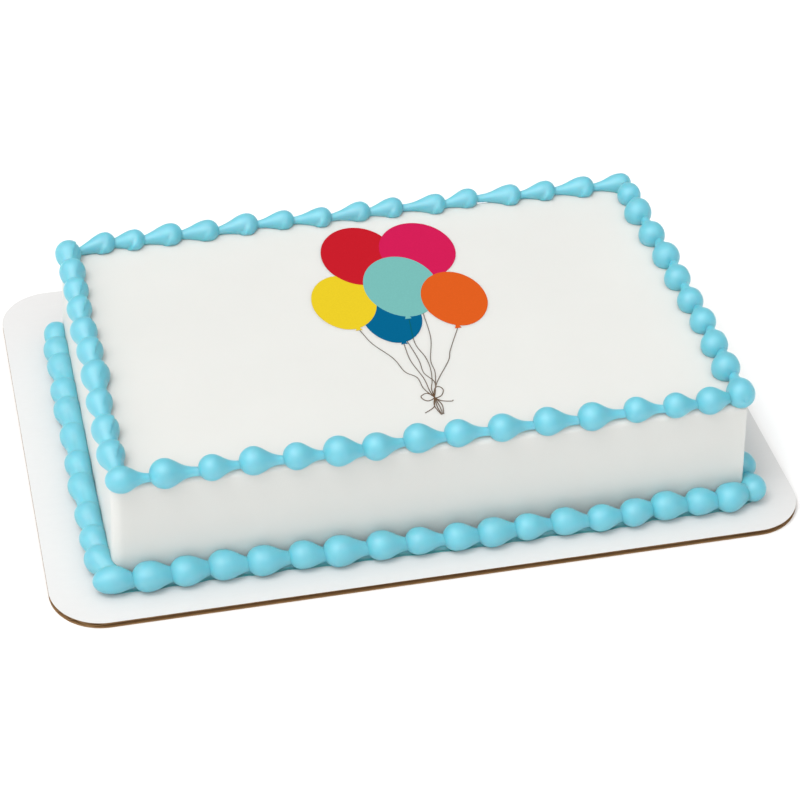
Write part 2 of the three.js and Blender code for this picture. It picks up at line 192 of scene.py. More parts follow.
def slab_from_triangles(name, flat_points, triangles, low, high):
    """A closed thin body over triangles in the plane; low and high give the heights at (x, y)."""
    used = sorted({i for tri in triangles for i in tri})
    place = {old: new for new, old in enumerate(used)}
    count = len(used)
    flat = [flat_points[i] for i in used]
    vertices = [(p[0], p[1], high(p[0], p[1])) for p in flat] + [(p[0], p[1], low(p[0], p[1])) for p in flat]
    faces = []
    edges = set()
    for tri in triangles:
        a, b, c = (place[i] for i in tri)
        cross = (flat[b] - flat[a]).cross(flat[c] - flat[a])
        if cross < 0:
            b, c = c, b
        faces.append((a, b, c))
        faces.append((a + count, c + count, b + count))
        edges.update(((a, b), (b, c), (c, a)))
    for a, b in edges:
        if (b, a) not in edges:
            faces.append((b, a, a + count, b + count))
    return new_object(name, vertices, faces)


# Node helpers for materials
class Nodes:
    def __init__(self, name):
        self.material = bpy.data.materials.new(name)
        self.material.use_nodes = True
        self.tree = self.material.node_tree
        self.shader = self.tree.nodes["Principled BSDF"]
        self.place = self.add("ShaderNodeTexCoord").outputs["Object"]

    def add(self, kind, **settings):
        node = self.tree.nodes.new(kind)
        for key, value in settings.items():
            setattr(node, key, value)
        return node

    def link(self, source, target):
        self.tree.links.new(source, target)

    def noise(self, scale, detail=3.0, roughness=0.5, stretch=None):
        texture = self.add("ShaderNodeTexNoise")
        texture.inputs["Scale"].default_value = scale
        texture.inputs["Detail"].default_value = detail
        texture.inputs["Roughness"].default_value = roughness
        place = self.place
        if stretch is not None:
            mapping = self.add("ShaderNodeMapping")
            mapping.inputs["Scale"].default_value = stretch
            self.link(place, mapping.inputs["Vector"])
            place = mapping.outputs["Vector"]
        self.link(place, texture.inputs["Vector"])
        return texture.outputs["Fac"]

    def ramp(self, value, stops):
        node = self.add("ShaderNodeValToRGB")
        node.color_ramp.elements[0].position = stops[0][0]
        node.color_ramp.elements[0].color = (*stops[0][1], 1)
        node.color_ramp.elements[1].position = stops[-1][0]
        node.color_ramp.elements[1].color = (*stops[-1][1], 1)
        for position, colour in stops[1:-1]:
            node.color_ramp.elements.new(position).color = (*colour, 1)
        self.link(value, node.inputs["Fac"])
        return node.outputs["Color"]

    def math(self, operation, first, second):
        node = self.add("ShaderNodeMath", operation=operation)
        for socket, value in zip(node.inputs, (first, second)):
            if isinstance(value, (int, float)):
                socket.default_value = value
            else:
                self.link(value, socket)
        return node.outputs["Value"]

    def bump(self, height, distance, strength=1.0, below=None):
        node = self.add("ShaderNodeBump")
        node.inputs["Strength"].default_value = strength
        node.inputs["Distance"].default_value = distance
        self.link(height, node.inputs["Height"])
        if below is not None:
            self.link(below, node.inputs["Normal"])
        return node.outputs["Normal"]

    def colour(self, output):
        self.link(output, self.shader.inputs["Base Color"])

    def normal(self, output):
        self.link(output, self.shader.inputs["Normal"])

    def set(self, **values):
        for key, value in values.items():
            self.shader.inputs[key.replace("_", " ")].default_value = value


def linear(red, green, blue):
    """A screen colour from 0 to 255 as the light value that shades it."""
    def channel(value):
        share = value / 255
        return share / 12.92 if share <= 0.04045 else ((share + 0.055) / 1.055) ** 2.4

    return channel(red), channel(green), channel(blue)


def scaled(colour, factor):
    return tuple(min(1.0, c * factor) for c in colour)


# Materials: a noise's scale is its waves in a metre, and a bump's distance is in metres
def blue_icing():
    nodes = Nodes("blue_icing")
    base = (0.12, 0.5, 0.6)
    tone = nodes.noise(90, detail=4)
    nodes.colour(nodes.ramp(tone, [(0.3, scaled(base, 0.96)), (0.7, scaled(base, 1.03))]))
    fine = nodes.bump(nodes.noise(2200, detail=4, roughness=0.6), 0.00006, 0.5)
    nodes.normal(nodes.bump(nodes.noise(260, detail=2), 0.00025, 0.3, below=fine))
    nodes.set(Roughness=0.52, IOR=1.65, Subsurface_Weight=1, Subsurface_Scale=0.0045)
    nodes.set(Subsurface_Radius=(0.15, 0.8, 1.0))
    nodes.set(Coat_Weight=0.5, Coat_Roughness=0.5)
    nodes.shader.inputs["Specular IOR Level"].default_value = 0.8
    return nodes.material


def white_icing():
    nodes = Nodes("white_icing")
    base = (0.685, 0.685, 0.66)
    tone = nodes.noise(14, detail=4)
    nodes.colour(nodes.ramp(tone, [(0.3, scaled(base, 0.985)), (0.7, scaled(base, 1.01))]))
    fine = nodes.bump(nodes.noise(1400, detail=5, roughness=0.65), 0.00005, 0.5)
    streaks = nodes.noise(1, detail=3, stretch=(60, 520, 260))
    nodes.normal(nodes.bump(streaks, 0.0001, 0.35, below=fine))
    nodes.set(Roughness=0.5, Subsurface_Weight=0.6, Subsurface_Scale=0.006)
    nodes.set(Subsurface_Radius=(0.9, 1.0, 1.0))
    nodes.shader.inputs["Specular IOR Level"].default_value = 0.3
    return nodes.material


def white_paper():
    nodes = Nodes("white_paper")
    base = (0.70, 0.69, 0.685)
    fibre = nodes.noise(700, detail=6, roughness=0.7, stretch=(0.35, 1.2, 1))
    nodes.colour(nodes.ramp(fibre, [(0.3, scaled(base, 0.98)), (0.7, scaled(base, 1.0))]))
    nodes.normal(nodes.bump(fibre, 0.00005, 0.4))
    nodes.set(Roughness=0.62)
    nodes.shader.inputs["Specular IOR Level"].default_value = 0.3
    return nodes.material


def kraft_card(name, light, dark):
    nodes = Nodes(name)
    fibre = nodes.noise(500, detail=6, roughness=0.7, stretch=(0.15, 1, 2.5))
    nodes.colour(nodes.ramp(fibre, [(0.25, linear(*dark)), (0.75, linear(*light))]))
    nodes.normal(nodes.bump(fibre, 0.0001, 0.6))
    nodes.set(Roughness=0.85)
    return nodes.material


# How much brighter than its own colour the light makes a level surface
LIGHT_ON_TOP = 1.25


def print_ink(name, colour):
    nodes = Nodes(name)
    base = scaled(linear(*colour), 1 / LIGHT_ON_TOP)
    tone = nodes.noise(1200, detail=3)
    nodes.colour(nodes.ramp(tone, [(0.3, scaled(base, 0.97)), (0.7, scaled(base, 1.03))]))
    nodes.normal(nodes.bump(nodes.noise(1400, detail=5, roughness=0.65), 0.00005, 0.4))
    nodes.set(Roughness=0.6)
    nodes.shader.inputs["Specular IOR Level"].default_value = 0.02
    return nodes.material


# The icing's surface: almost flat, with the slight unevenness that a spatula leaves. It has a broad layer
# and a finer one, each with its waves in a metre along x, y and z, its start in the noise, and its height.
TOP_LAYERS = (((14, 17, 0), 0.3, 0.28 * MM), ((45, 60, 0), 4.1, 0.06 * MM))
SIDE_LAYERS = (((18, 18, 26), 7.7, 0.35 * MM), ((55, 55, 90), 2.2, 0.07 * MM))
TOP_LOWERED = 0.12 * MM


def bulge(layers, x, y, z):
    """How far the icing's surface stands out at a place."""
    total = 0.0
    for waves, start, height in layers:
        total += height * noise.noise(Vector((x * waves[0], y * waves[1], z * waves[2] + start)))
    return total


def icing_height(x, y):
    return CAKE_TOP + bulge(TOP_LAYERS, x, y, 0) - TOP_LOWERED


CAKE_CORNER_STEPS = 10
CAKE_LONG_STEPS = 110
CAKE_SHORT_STEPS = 70
CAKE_SIDE_LEVELS = 22
CAKE_EDGE_STEPS = 8
CAKE_TOP_SPACING = 3.2 * MM


def cake_outline(z, inset):
    flare = FLARE * (CAKE_TOP - z) / (CAKE_TOP - BOARD_TOP)
    half_x = TOP_HALF[0] + flare - inset
    half_y = TOP_HALF[1] + flare - inset
    radii = [radius * (1 - CORNER_NARROWING * inset / CAKE_EDGE) for radius in CAKE_CORNER]
    flat = rounded_rectangle(half_x, half_y, radii, CAKE_CORNER_STEPS, CAKE_LONG_STEPS, CAKE_SHORT_STEPS)
    return [(x + CAKE_X, y + CAKE_Y) for x, y in flat]


def cake_ring(z, inset, lift_share):
    """One level of the cake's skin: pushed out by the sides' unevenness, lifted by the top's."""
    points = []
    for x, y in cake_outline(z, inset):
        out_x = (x - CAKE_X) / BASE_HALF[0]
        out_y = (y - CAKE_Y) / BASE_HALF[1]
        push = bulge(SIDE_LAYERS, x, y, z) * (1 - lift_share)
        if abs(out_x) > abs(out_y):
            x += math.copysign(push, out_x)
        else:
            y += math.copysign(push, out_y)
        points.append((x, y, z + lift_share * (icing_height(x, y) - CAKE_TOP)))
    return points


def iced_cake():
    shoulder = CAKE_TOP - CAKE_EDGE
    rings = []
    for level in range(CAKE_SIDE_LEVELS):
        z = BOARD_TOP + (shoulder - BOARD_TOP) * level / CAKE_SIDE_LEVELS
        rings.append(cake_ring(z, 0, 0))
    for step in range(CAKE_EDGE_STEPS + 1):
        share = step / CAKE_EDGE_STEPS
        angle = math.pi / 2 * share
        inset = CAKE_EDGE * (1 - math.cos(angle))
        z = shoulder + CAKE_EDGE * math.sin(angle)
        rings.append(cake_ring(z, inset, share))
    sides = len(rings[0])
    vertices = [p for ring in rings for p in ring]
    faces = ring_faces(len(rings), sides)
    faces.append(tuple(reversed(range(sides))))
    top_start = (len(rings) - 1) * sides
    edge = [Vector(p[:2]) for p in rings[-1]]
    flat, triangles = fill_outlines([edge], CAKE_TOP_SPACING)
    index = {}
    for i, p in enumerate(flat):
        if i < sides:
            index[i] = top_start + i
        else:
            index[i] = len(vertices)
            vertices.append((p.x, p.y, icing_height(p.x, p.y)))
    for (a, b, c), _ in triangles:
        if (flat[b] - flat[a]).cross(flat[c] - flat[a]) < 0:
            b, c = c, b
        faces.append((index[a], index[b], index[c]))
    return new_object("cake_icing", vertices, faces)


# Piped beads
class Draws:
    """The same even draws as the part's own source makes from the same seed."""

    def __init__(self, seed):
        self.state = seed

    def next(self):
        self.state = (self.state + 0x6D2B79F5) & 0xFFFFFFFF
        mixed = ((self.state ^ (self.state >> 15)) * (1 | self.state)) & 0xFFFFFFFF
        mixed = (mixed + ((mixed ^ (mixed >> 7)) * (61 | mixed)) & 0xFFFFFFFF) & 0xFFFFFFFF ^ mixed
        return ((mixed ^ (mixed >> 14)) & 0xFFFFFFFF) / 4294967296

    def around_one(self, spread):
        return 1 + spread * (2 * self.next() - 1)


SIZE_SPREAD = 0.09
SIDE_SPREAD = 1.3
SIDE_LATE = 1.5
# In mm: radius is the head's, height is its centre's above the ring, drop lowers the tail, and pull moves it
# towards the cake. In head radii: tail is the tail's radius, waist the distance at which the bead narrows to
# it, and nose the reach of the run's first head in front of its centre.
# power is how sharply the bead narrows, and late is how late on the tail drop and pull set in.
# full is how much of the head's radius the tail keeps on the side that presses against the cake.
# cleft is how far, as a share of its reach, a head's front is pressed in at the top by the last bead's tail.
TOP_BEAD = {
    "radius": 6.6,
    "height": 3.4,
    "tail": 0.38,
    "waist": 1.08,
    "power": 2.3,
    "drop": 1.9,
    "pull": 0,
    "late": 1.5,
    "nose": 1,
    "full": 0,
    "cleft": 0,
}
BOTTOM_BEAD = {
    "radius": 6.6,
    "height": 6.5,
    "tail": 0.42,
    "waist": 1.2,
    "power": 2.6,
    "drop": 2.5,
    "pull": 0.3,
    "late": 2.5,
    "nose": 1,
    "full": 0,
    "cleft": 0,
}


def run_of(kind, first, last, count, spread, lean, seeds, **changes):
    """One side's beads: where its first and last heads are in mm, how uneven it is, and how it differs."""
    places = {"first": first, "last": last, "count": count}
    return {**kind, **places, "spread": spread, "lean": lean, "seeds": seeds, **changes}


TOP_RUNS = {
    "left": run_of(
        TOP_BEAD, 9, 166.8, 10, 0.24, (0.8, 0.75), (2874485, 1362779, 2704295),
        radius=6.8, tail=0.48, waist=1,
    ),
    "front": run_of(
        TOP_BEAD, 2.5, 275, 15, 0.17, (-1.15, 0.4), (11842577, 470272, 2171953),
        radius=6.45, tail=0.31, drop=1.2, nose=1.17,
    ),
    "right": run_of(
        TOP_BEAD, 2.2, 171, 10, 0.13, (0.2, 0.95), (305711, 1006972, 457663),
        tail=0.34, waist=1.18, power=2.7, drop=0.5, pull=-1.8, late=1.2, cleft=0.1,
    ),
    "back": run_of(
        TOP_BEAD, 1.8, 271.7, 15, 0.23, (-1.95, 0.65), (3642226, 1406760, 914661),
        radius=5.45, height=2.3, tail=0.35, waist=1.6, power=2.2, drop=0.9,
    ),
}
BOTTOM_RUNS = {
    "left": run_of(
        BOTTOM_BEAD, 15.2, 188.3, 11, 0.24, (1.7, 0.6), (2080729, 809036, 768839),
        radius=6.55, tail=0.62, waist=1, drop=0.8, full=0.9,
    ),
    "front": run_of(
        BOTTOM_BEAD, 5.9, 297.5, 18, 0.13, (1.35, -1), (1697585, 758828, 3609254),
        radius=6.78, drop=1.0, nose=1.42,
    ),
    "right": run_of(BOTTOM_BEAD, 3.9, 185, 12, 0.13, (2, 0.5), (31, 175209, 103006), radius=6.4, tail=0.5),
    "back": run_of(BOTTOM_BEAD, 5.2, 288, 17, 0.13, (0, 0), (32, 33, 34), end=304),
}
SIDES = {
    "left": {"heading": -math.pi / 2, "corner": (-1, 1), "axis": 1},
    "front": {"heading": 0.0, "corner": (-1, -1), "axis": 0},
    "right": {"heading": math.pi / 2, "corner": (1, -1), "axis": 1},
    "back": {"heading": math.pi, "corner": (1, 1), "axis": 0},
}
SIDE_ORDER = ("left", "front", "right", "back")
TOP_RING = {"half": TOP_HALF, "out": -2.2 * MM, "z": CAKE_TOP}
BOTTOM_RING = {"half": BASE_HALF, "out": 6.4 * MM, "z": BOARD_TOP}
# A tail meets the next head this many of that head's radii before its centre
CREASE = 0.9
# A run's last tail reaches at least this many head radii past its own head's centre
CORNER_REACH = 1.3
# The cleft's width, as an angle round the bead
CLEFT_WIDTH = 1.0
BEAD_SIDES = 44
HEAD_RINGS = 15
TAIL_RINGS = 26
# The first ring lies this share of a step behind the head's foremost point
FIRST_RING = 0.35
# A bead's slight bumps: how close together they are, and how high as a share of its radius there
BUMP_WAVES = 0.8
BUMP_HEIGHT = 0.022
# Each bead starts elsewhere in the noise: within this reach in two directions, and a step on for each run
NOISE_REACH = 50
NOISE_STEP = 7.0
# How deep the borders sink into the cake and into the board's paper
SINK = 0.3 * MM
BOARD_SINK = 0.05 * MM
# How far the block that cuts the borders reaches below the board's top
BLOCK_BELOW = 2 * MM


def heads_of(run):
    """Where a run's heads lie, how large they are, and how far towards the cake from the ring they are."""
    gaps, sizes, sides = (Draws(seed) for seed in run["seeds"])
    first_lean, last_lean = run["lean"]
    shares = [0.0]
    for _ in range(run["count"] - 1):
        shares.append(shares[-1] + gaps.around_one(run["spread"]))
    scale = (run["last"] - run["first"]) / shares[-1]
    heads = []
    for i, share in enumerate(shares):
        lean = first_lean + (last_lean - first_lean) * i / (run["count"] - 1)
        heads.append({
            "at": MM * (run["first"] + share * scale),
            "radius": MM * run["radius"] * sizes.around_one(SIZE_SPREAD),
            "side": MM * (lean + sides.around_one(SIDE_SPREAD) - 1),
        })
    return heads


def ring_span(ring, axis):
    return 2 * (ring["half"][axis] + ring["out"])


def step_up(value, width):
    """0 up to 0 and 1 from width on, smooth between."""
    share = min(max(value / width, 0.0), 1.0)
    return share * share * (3 - 2 * share)


def bell(value, width, power=2):
    """1 at 0, and down towards 0 past the width."""
    return math.exp(-((value / width) ** power))


def turned(angle):
    """An angle round the bead between -pi and pi: 0 faces the cake, and pi / 2 is up."""
    return angle if angle < math.pi else angle - 2 * math.pi


# The marks' sizes: angles are round the bead from its cake side, and the rest is in head radii, with places
# along the bead from the head's centre. An end is where a mark fades out and how wide the fading is.
FOLD = {
    "line": 1.0,
    "slant": 0.35,
    "step": 0.12,
    "depth": 0.11,
    "low_end": (-0.9, 0.5),
    "front_end": (-0.95, 0.35),
    "tail_end": (1.25, 0.5),
    "ridges_at": (0.32, 0.58),
    "ridge_width": 0.055,
    "ridge_height": 0.035,
}
LOBE = {
    "angle": -0.05,
    "width": 0.55,
    "height": 0.24,
    "front_end": (-0.9, 0.7),
    "crease": 0.555,
    "slant": 0.7,
    "step": 0.13,
}
NICK = {"angle": 3.95, "width": 0.11, "place": 0.75, "length": 0.4, "depth": 0.14}


def cake_side_fold(x, angle):
    """The head is folded on the cake's side: past a slanting line it steps in and has fine ridges."""
    angle = turned(angle)
    line = FOLD["line"] + FOLD["slant"] * x
    low, low_width = FOLD["low_end"]
    front, front_width = FOLD["front_end"]
    tail, tail_width = FOLD["tail_end"]
    inside = step_up(line - angle, FOLD["step"]) * step_up(angle - low, low_width)
    along = step_up(x - front, front_width) * step_up(tail - x, tail_width)
    ridges = sum(bell(angle - line + beyond, FOLD["ridge_width"]) for beyond in FOLD["ridges_at"])
    return (FOLD["ridge_height"] * ridges - FOLD["depth"] * inside) * along


def low_lobe(x, angle):
    """A low lobe on the cake's side of the head, which ends at a slanting crease on the tail."""
    angle = turned(angle)
    front, front_width = LOBE["front_end"]
    crease = LOBE["crease"] - LOBE["slant"] * angle
    around = bell(angle - LOBE["angle"], LOBE["width"])
    return LOBE["height"] * around * step_up(x - front, front_width) * step_up(crease - x, LOBE["step"])


def nick(x, angle):
    """A short dent under the outer side, where the head becomes the tail."""
    around = bell(angle - NICK["angle"], NICK["width"])
    along = bell(x - NICK["place"], NICK["length"], 4)
    return -NICK["depth"] * around * along


# What the piping left on the heads of each top run, how strongly, and how much that varies
MARK_SPREAD = 0.35
TOP_MARKS = {
    "left": ((cake_side_fold, 1.0),),
    "front": ((nick, 0.6),),
    "right": ((nick, 0.5),),
    "back": ((low_lobe, 1.0),),
}


def bead_grid(run, head, reach, crease, end_side, is_first, marks, uneven):
    """Points of one bead along +X with its head round the origin, and the cake on its +Y side."""
    radius = head["radius"]
    nose = run["nose"] if is_first else 1
    stations = [-math.cos(math.pi / 2 * (i + FIRST_RING) / HEAD_RINGS) for i in range(HEAD_RINGS)]
    stations += [reach / radius * (i + 1) / TAIL_RINGS for i in range(TAIL_RINGS)]
    vertices = []
    for x in stations:
        if x < 0:
            across = radius * math.sqrt(1 - x * x)
            share = 0.0
        else:
            narrowing = bell(x, run["waist"], run["power"])
            across = radius * (run["tail"] + (1 - run["tail"]) * narrowing)
            share = min(x * radius / crease, 1.0)
        moved = share ** run["late"]
        centre_y = head["side"] + (end_side - head["side"]) * share ** SIDE_LATE + run["pull"] * MM * moved
        centre_z = (run["height"] - run["drop"] * moved) * MM
        for side in range(BEAD_SIDES):
            angle = 2 * math.pi * side / BEAD_SIDES
            place = Vector((x, math.cos(angle), math.sin(angle))) * BUMP_WAVES + uneven
            grown = across * (1 + BUMP_HEIGHT * noise.noise(place))
            grown += radius * sum(size * mark(x, angle) for mark, size in marks)
            grown += run["full"] * (radius - across) * max(0.0, math.cos(angle)) if x > 0 else 0.0
            y = centre_y + grown * math.cos(angle)
            z = centre_z + grown * math.sin(angle)
            front = nose * (1 - run["cleft"] * bell(angle - math.pi / 2, CLEFT_WIDTH))
            vertices.append(Vector((x * radius * (front if x < 0 else 1), y, z)))
    return vertices, len(stations)


def make_bead(*settings):
    vertices, rings = bead_grid(*settings)
    faces = ring_faces(rings, BEAD_SIDES)
    faces.append(tuple(reversed(range(BEAD_SIDES))))
    last = (rings - 1) * BEAD_SIDES
    faces.append(tuple(range(last, last + BEAD_SIDES)))
    return vertices, faces


def place_bead(name, vertices, faces, ring, side, at, floor_z):
    corner_x = CAKE_X + side["corner"][0] * ring_span(ring, 0) / 2
    corner_y = CAKE_Y + side["corner"][1] * ring_span(ring, 1) / 2
    turn = Matrix.Rotation(side["heading"], 3, "Z")
    placed = []
    for v in vertices:
        p = turn @ Vector((v.x + at, v.y, v.z)) + Vector((corner_x, corner_y, ring["z"]))
        p.z = max(p.z, floor_z)
        placed.append(p)
    return new_object(name, placed, faces)


def cake_block():
    """The block of cake that the borders may not sink further into."""
    rings = []
    for z, grow in ((BOARD_TOP - BLOCK_BELOW, FLARE), (CAKE_TOP - SINK, 0.0)):
        half_x = TOP_HALF[0] + grow - SINK
        half_y = TOP_HALF[1] + grow - SINK
        outline = rounded_rectangle(half_x, half_y, CAKE_CORNER, CAKE_CORNER_STEPS)
        rings.append([(x + CAKE_X, y + CAKE_Y, z) for x, y in outline])
    sides = len(rings[0])
    faces = ring_faces(2, sides)
    faces.append(tuple(reversed(range(sides))))
    faces.append(tuple(range(sides, 2 * sides)))
    return new_object("cake_block", rings[0] + rings[1], faces)


# The foot under the bottom beads: its half widths under a head and under a tail, the share of the way
# between two heads at which it is narrowest, the height of its edge, and its ridge's height and width
FOOT = {
    "head": 3.2 * MM,
    "tail": 2.1 * MM,
    "narrowest": 0.62,
    "edge": 0.25 * MM,
    "rise": 1.4 * MM,
    "rise_width": 0.9 * MM,
}
FOOT_STEP = 0.8 * MM
FOOT_SIDES = 14


def foot(name, run, heads, end, end_side, ring, side):
    """The low icing that the beads leave on the board: wider under the heads, with a crisp outer edge."""
    places = [(head["at"], head["side"], FOOT["head"]) for head in heads]
    for here, beyond in zip(heads, heads[1:]):
        between = here["at"] + FOOT["narrowest"] * (beyond["at"] - here["at"])
        places.append((between, beyond["side"], FOOT["tail"]))
    places.append((end, end_side, FOOT["tail"]))
    places.sort()
    xs, ys, widths = (np.array(column) for column in zip(*places))
    count = max(2, int((end - xs[0]) / FOOT_STEP))
    vertices = []
    for x in np.linspace(xs[0], end, count):
        middle = np.interp(x, xs, ys) + run["pull"] * MM
        width = np.interp(x, xs, widths)
        for step in range(FOOT_SIDES + 1):
            y = width * (2 * step / FOOT_SIDES - 1)
            z = FOOT["edge"] + FOOT["rise"] * bell(y, FOOT["rise_width"])
            vertices.append(Vector((x, middle - y, z)))
        vertices += [Vector((x, middle + across, -BOARD_SINK)) for across in (-width, width)]
    sides = FOOT_SIDES + 3
    faces = ring_faces(count, sides)
    faces.append(tuple(reversed(range(sides))))
    faces.append(tuple(range((count - 1) * sides, count * sides)))
    return place_bead(name, vertices, faces, ring, side, 0, BOARD_TOP - BOARD_SINK)


def border(prefix, ring, runs, marks, block, floor_z, with_foot):
    pieces = []
    heads = {name: heads_of(runs[name]) for name in SIDE_ORDER}
    for order, name in enumerate(SIDE_ORDER):
        run, side = runs[name], SIDES[name]
        next_head = heads[SIDE_ORDER[(order + 1) % 4]][0]
        draws = Draws(run["seeds"][0] + 1)
        last_head = heads[name][-1]
        corner = ring_span(ring, side["axis"]) - next_head["side"]
        end = max(corner, last_head["at"] + CORNER_REACH * run["radius"] * MM)
        end_side = next_head["at"]
        if "end" in run:
            end, end_side = run["end"] * MM, last_head["side"]
        beads = []
        for i, head in enumerate(heads[name]):
            following = heads[name][i + 1] if i + 1 < len(heads[name]) else None
            stop = following["at"] if following else end
            crease = (stop - CREASE * following["radius"] if following else end) - head["at"]
            aim = following["side"] if following else end_side
            chosen = [(mark, size * draws.around_one(MARK_SPREAD)) for mark, size in marks.get(name, ())]
            uneven = Vector((draws.next() * NOISE_REACH, draws.next() * NOISE_REACH, order * NOISE_STEP))
            vertices, faces = make_bead(run, head, stop - head["at"], crease, aim, i == 0, chosen, uneven)
            bead = place_bead(f"{prefix}_{name}_{i}", vertices, faces, ring, side, head["at"], floor_z)
            beads.append(bead)
        if with_foot:
            beads.append(foot(f"{prefix}_{name}_foot", run, heads[name], end, end_side, ring, side))
        joined = join_by_union(f"{prefix}_{name}_beads", beads, block)
        smooth_to_angle(joined, SHARP_FROM["beads"])
        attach(joined, "root")
        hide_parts(f"{prefix}_border_{name}")
        pieces.append(joined)
    return pieces


# Printed picture, measured from the cake's centre in mm
FILM_HEIGHT = 0.1 * MM
FILM_DEPTH = 0.25 * MM
FILM_SPACING = 2.5 * MM
BALLOON_STEPS = 120
BALLOON_POINT = 0.07
KNOT = {"width": 3.2, "height": 2.4, "neck": 1.5, "overlap": 1}
BALLOONS = {
    "orange": {"x": 34.6, "y": 13.9, "width": 32, "height": 44.8, "knot": -4, "ink": (224, 94, 30)},
    "teal": {"x": 11.4, "y": 28.7, "width": 36.6, "height": 50.5, "knot": -2.6, "ink": (121, 189, 184)},
    "magenta": {"x": 26.4, "y": 57, "width": 38, "height": 48.4, "knot": 0, "ink": (212, 28, 86)},
    "red": {"x": -3.6, "y": 57.9, "width": 37.2, "height": 49.8, "knot": 0, "ink": (200, 27, 41)},
    "yellow": {"x": -18.9, "y": 21.2, "width": 31.2, "height": 44.3, "knot": 2.4, "ink": (235, 205, 39)},
    "blue": {"x": 1.4, "y": 5, "width": 28.5, "height": 41.4, "knot": 1, "ink": (0, 101, 144)},
}
BALLOON_ORDER = ("orange", "teal", "magenta", "red", "yellow", "blue")


def on_cake(x, y):
    return Vector((CAKE_X + x * MM, CAKE_Y + y * MM))


def balloon_outline(balloon):
    points = []
    for step in range(BALLOON_STEPS):
        angle = 2 * math.pi * (step + 0.5) / BALLOON_STEPS
        narrowing = 1 - BALLOON_POINT * max(0.0, -math.sin(angle)) ** 2
        x = balloon["x"] + balloon["width"] / 2 * narrowing * math.cos(angle)
        y = balloon["y"] + balloon["height"] / 2 * math.sin(angle)
        points.append(on_cake(x, y))
    return points


def knot_outline(balloon):
    x = balloon["x"] + balloon["knot"]
    top = balloon["y"] - balloon["height"] / 2 + KNOT["overlap"]
    bottom = top - KNOT["height"]
    wide, narrow = KNOT["width"] / 2, KNOT["neck"] / 2
    corners = ((-wide, bottom), (wide, bottom), (narrow, top), (-narrow, top))
    return [on_cake(x + dx, y) for dx, y in corners]


def film_top(x, y):
    return icing_height(x, y) + FILM_HEIGHT


def film_bottom(x, y):
    return icing_height(x, y) - FILM_DEPTH


def balloons():
    outlines = []
    owners = []
    for name in BALLOON_ORDER:
        outlines += [balloon_outline(BALLOONS[name]), knot_outline(BALLOONS[name])]
        owners += [name, name]
    flat, covered = fill_outlines(outlines, FILM_SPACING)
    shares = {name: [] for name in BALLOON_ORDER}
    for triangle, faces in covered:
        names = {owners[f] for f in faces}
        front = next(name for name in BALLOON_ORDER if name in names)
        shares[front].append(triangle)
    for name in BALLOON_ORDER:
        film = slab_from_triangles(f"balloon_{name}_print", flat, shares[name], film_bottom, film_top)
        smooth_to_angle(film, SHARP_FROM["film"])
        film.data.materials.append(print_ink(f"ink_{name}", BALLOONS[name]["ink"]))
        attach(film, "root")
        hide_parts(f"balloon_{name}")


THREAD_WIDTH = 0.42
THREAD_STEPS = 16
THREAD_HEIGHT = 0.08 * MM
# The section of a thread: places across it in half widths, with their heights in THREAD_HEIGHT
THREAD_SECTION = ((-1, 0.4), (0, 1), (1, 0.4), (1, -2), (-1, -2))
# How much higher each thread lies than the last one, in heights of the film
THREAD_LIFT = 0.05
TIE = (6.6, -59.6)
# The places that each string passes on its way from its balloon to the tie
STRINGS = (
    ((-16.2, -2.4), (-12.6, -14), (-5.5, -26.8), (-2.4, -38), (2.2, -43.5), (3.3, -52.2)),
    ((2.1, -17), (2.2, -30.3), (5.1, -44.6), (5.6, -54.3)),
    ((4.1, -15), (6.1, -30.5), (6.1, -40.5), (9.3, -47.8), (8.4, -54)),
    ((8.9, 1), (7.4, -17.6), (9.7, -29), (9.9, -38.5), (8.4, -47.5), (6.8, -53)),
    ((16.8, 4.8), (15.7, -15), (11.6, -31.5), (11.4, -41), (9.2, -51)),
    ((30.2, -10), (22.6, -26), (19.8, -33.6), (10.4, -49)),
)
# The bow's two loops and its ends, measured from the tie
BOW_LOOPS = (
    ((-1.8, 3.1), (-3.6, 3.6), (-6, 1.8), (-5, -1), (-2.9, -1.9)),
    ((1.6, 6.2), (3.9, 7.5), (5.3, 4.6), (3.3, 0.6)),
)
BOW_ENDS = (
    ((2.4, -2.9), (6.9, -4.2), (8.1, -3.6)),
    ((-1.4, -5.6), (-3, -7.9), (-6.9, -10.3)),
    ((-1.5, -6), (0.1, -12.9)),
    ((-0.4, -7), (0.4, -12.8)),
    ((0.8, -7.2), (0.8, -12.6)),
    ((2.1, -5.9), (1.3, -12.6)),
)


def smooth_line(places, closed):
    """Points on a smooth curve that passes through all the places."""
    points = [Vector(p) for p in places]
    count = len(points)
    if closed:
        around = [points[-1], *points, points[0], points[1]]
    else:
        around = [2 * points[0] - points[1], *points, 2 * points[-1] - points[-2]]
    line = []
    for i in range(count if closed else count - 1):
        a, b, c, d = around[i:i + 4]
        for step in range(THREAD_STEPS):
            t = step / THREAD_STEPS
            bend = (2 * a - 5 * b + 4 * c - d) * t * t + (3 * b - a - 3 * c + d) * t ** 3
            line.append(b + ((c - a) * t + bend) / 2)
    if not closed:
        line.append(points[-1])
    return line


